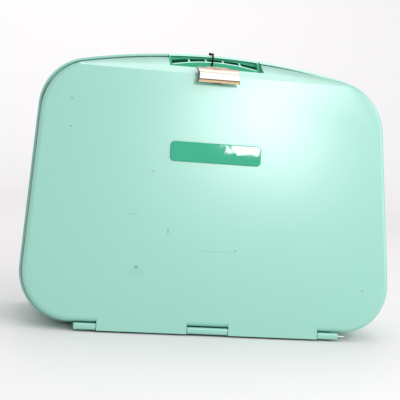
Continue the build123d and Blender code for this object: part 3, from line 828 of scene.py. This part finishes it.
@dataclass
class RearShell(SubAssembly):
    """The shell, with its feet, its hinge rod, the grip's tub and the strike."""

    body: str = "root"

    def pieces(self) -> list[DressedNode]:
        """List the shell's pieces.

        Returns:
            The pieces to dress.
        """
        plastic = [
            self.piece("rear_shell", "mint_shell", "case_plastic", self.moulded),
            # The well behind the grip wears painted shade.
            self.piece("handle_housing", "well_painted_shade", "grip_plastic", self.fine),
            self.piece("foot", "foot_rubber", "foot_rubber", self.fine),
        ]
        pivots = self.steel("hinge_rod", "handle_pin", "handle_clip", "housing_screw")
        return plastic + pivots + self.steel("strike_plate", "strike_screw", "foot_screw")


@dataclass
class FrontLid(SubAssembly):
    """The lid, with its label and what holds the latch."""

    body: str = "lid"

    def pieces(self) -> list[DressedNode]:
        """List the lid's pieces.

        Returns:
            The pieces to dress.
        """
        plastic = [
            self.piece("front_lid", "mint_lid", "case_plastic", self.moulded),
            self.piece("name_plate", "glossy_plate", "plate_plastic", self.fine),
        ]
        holders = self.steel("latch_bracket", "latch_pin", "latch_spring")
        return plastic + holders + self.steel("latch_backing_plate", "latch_rivet")


@dataclass
class Latch(SubAssembly):
    """The latch's plate and the claw behind it."""

    body: str = "latch"

    def pieces(self) -> list[DressedNode]:
        """Return the latch's pieces."""
        lever = self.piece("latch_lever", "polished_latch", "latch_steel", self.fine)
        return [lever, *self.steel("latch_claw")]


@dataclass
class Grip(SubAssembly):
    """The folding grip, with the cord tied round it."""

    body: str = "grip"

    def pieces(self) -> list[DressedNode]:
        """List the grip's pieces.

        Returns:
            The pieces to dress.
        """
        return [
            # The grip wears painted shade, with painted light on its upturned faces and crest.
            self.piece("handle", "grip_painted_shade_and_light", "grip_plastic", self.moulded),
            self.piece("tie_cord", "tie_fabric", "tie_fabric", self.plain),
            self.piece("tie_knot", "tie_fabric", "tie_fabric", self.plain),
        ]


@dataclass(frozen=True)
class Lamp:
    """A square area light.

    Args:
        name: the light's name.
        place: where it hangs.
        size: its side, in metres.
        power: its power, in watts.
        aim: the point that it faces.
    """

    name: str
    place: tuple[float, float, float]
    size: float
    power: float
    aim: tuple[float, float, float] = (0.06, -0.05, 0.222)

    def build(self) -> None:
        """Hang the light."""
        data = bpy.data.lights.new(self.name, "AREA")
        data.size = self.size
        data.energy = self.power
        lamp = bpy.data.objects.new(self.name, data)
        lamp.location = self.place
        ray = Vector(self.aim) - Vector(self.place)
        lamp.rotation_euler = ray.to_track_quat("-Z", "Y").to_euler()
        bpy.context.scene.collection.objects.link(lamp)


LAMPS = (
    Lamp("key", (0.389, -1.296, 0.755), 0.215, 4.0),
    Lamp("top", (0.2, 1.0, 2.0), 1.0, 6.0),
    Lamp("front", (0.1, -0.9, 1.6), 1.3, 2.4),
    Lamp("side", (1.5, -0.9, 0.9), 1.3, 11.0),
    Lamp("backdrop", (0.0, 2.2, 2.6), 1.5, 10.0, aim=(0.0, 4.0, 1.0)),
)


@dataclass
class Studio:
    """The floor, the lights and the camera at the photograph's viewpoint.

    Args:
        camera_place: where the camera stands, in metres.
        yaw: how far it turns to the right, in radians.
        pitch: how far it looks down.
        roll: how far it leans.
        lens: its focal length, in millimetres.
        sensor: its sensor's width, in millimetres.
        floor_reach: the floor's half side and the backdrop's height, in metres.
        backdrop_bend: how far the bend between them reaches, in metres.
        bend_segments: the bend's segments.
        world_strength: the strength of the white surroundings.
    """

    camera_place: tuple[float, float, float] = (-0.18946, -1.08398, 0.19682)
    yaw: float = 0.1691
    pitch: float = 0.05628747
    roll: float = 0.07327849
    lens: float = 90.0
    sensor: float = 36.0
    floor_reach: float = 4.0
    backdrop_bend: float = 1.5
    bend_segments: int = 12
    world_strength: float = 0.85

    def camera(self) -> None:
        """Set the camera where the photograph was taken from."""
        yaw, pitch, roll = self.yaw, self.pitch, self.roll
        forward = Vector(
            (math.sin(yaw) * math.cos(pitch), math.cos(yaw) * math.cos(pitch), -math.sin(pitch))
        )
        level = Vector((math.cos(yaw), -math.sin(yaw), 0.0))
        above = level.cross(forward)
        right = math.cos(roll) * level + math.sin(roll) * above
        up = -math.sin(roll) * level + math.cos(roll) * above
        turned = Matrix((right, up, -forward)).transposed().to_4x4()
        data = bpy.data.cameras.new("camera")
        data.lens = self.lens
        data.sensor_width = self.sensor
        camera = bpy.data.objects.new("camera", data)
        camera.matrix_world = Matrix.Translation(self.camera_place) @ turned
        bpy.context.scene.collection.objects.link(camera)
        bpy.context.scene.camera = camera

    def floor(self) -> None:
        """Lay the pale floor, which rises into a backdrop far behind the case, with painted shade
        near the case and painted light on the far backdrop.
        """
        shape = bmesh.new()
        bmesh.ops.create_grid(shape, x_segments=2, y_segments=2, size=self.floor_reach)
        far_y = self.floor_reach - 0.1
        back = [edge for edge in shape.edges if all(v.co.y > far_y for v in edge.verts)]
        raised = bmesh.ops.extrude_edge_only(shape, edges=back)
        tops = [item for item in raised["geom"] if isinstance(item, bmesh.types.BMVert)]
        bmesh.ops.translate(shape, vec=(0.0, 0.0, self.floor_reach), verts=tops)
        bend = [
            edge
            for edge in shape.edges
            if all(v.co.y > far_y and v.co.z < 0.1 for v in edge.verts)
        ]
        bmesh.ops.bevel(
            shape,
            geom=bend,
            offset=self.backdrop_bend,
            offset_type="OFFSET",
            segments=self.bend_segments,
            profile=0.5,
            affect="EDGES",
            material=-1,
        )
        for face in shape.faces:
            face.smooth = True
        mesh = bpy.data.meshes.new("floor")
        shape.to_mesh(mesh)
        shape.free()
        floor = bpy.data.objects.new("floor", mesh)
        bpy.context.scene.collection.objects.link(floor)
        shader = Shader("pale_floor", SHADED_NEAR_FLOOR, 0.6)
        # Painted shade and light: darker near the case, brighter towards the backdrop.
        far = shader.ease(shader.length_of(shader.place), 1.6, 4.2)
        shader.drive("Base Color", shader.tint(SHADED_NEAR_FLOOR, LIT_FAR_FLOOR, far))
        mesh.materials.append(shader.material)

    def build(self) -> None:
        """Set up the whole studio."""
        self.camera()
        self.floor()
        for lamp in LAMPS:
            lamp.build()
        world = bpy.data.worlds.new("studio")
        world.use_nodes = True
        sky = world.node_tree.nodes["Background"]
        sky.inputs["Color"].default_value = WHITE
        sky.inputs["Strength"].default_value = self.world_strength
        bpy.context.scene.world = world
        bpy.context.scene.view_settings.view_transform = "Standard"


MARKS = (
    Mark(-0.1528, 0.2337, 0.0018, 0.0015, 0.45),
    Mark(-0.1522, 0.2050, 0.0017, 0.0015, 0.40),
    Mark(-0.0656, 0.1650, 0.0014, 0.0014, 0.40),
    Mark(-0.0855, 0.1199, 0.0090, 0.0007, 0.28),
    Mark(-0.0471, 0.1048, 0.0010, 0.0045, 0.50),
    Mark(-0.0782, 0.0668, 0.0028, 0.0022, 0.55),
    Mark(-0.0782, 0.0630, 0.0120, 0.0100, 0.05),
    Mark(0.0240, 0.0884, 0.0016, 0.0014, 0.50),
    Mark(0.0069, 0.0864, 0.0340, 0.0008, 0.14),
    Mark(0.1628, 0.0540, 0.0016, 0.0013, 0.45),
)


def main() -> None:
    """Build the studio and dress the case."""
    logging.basicConfig(level=logging.INFO)
    Studio().build()
    materials = Wardrobe(MARKS).build()
    for assembly in (RearShell(), FrontLid(), Latch(), Grip()):
        assembly.build(materials)


if __name__ == "__main__":
    main()
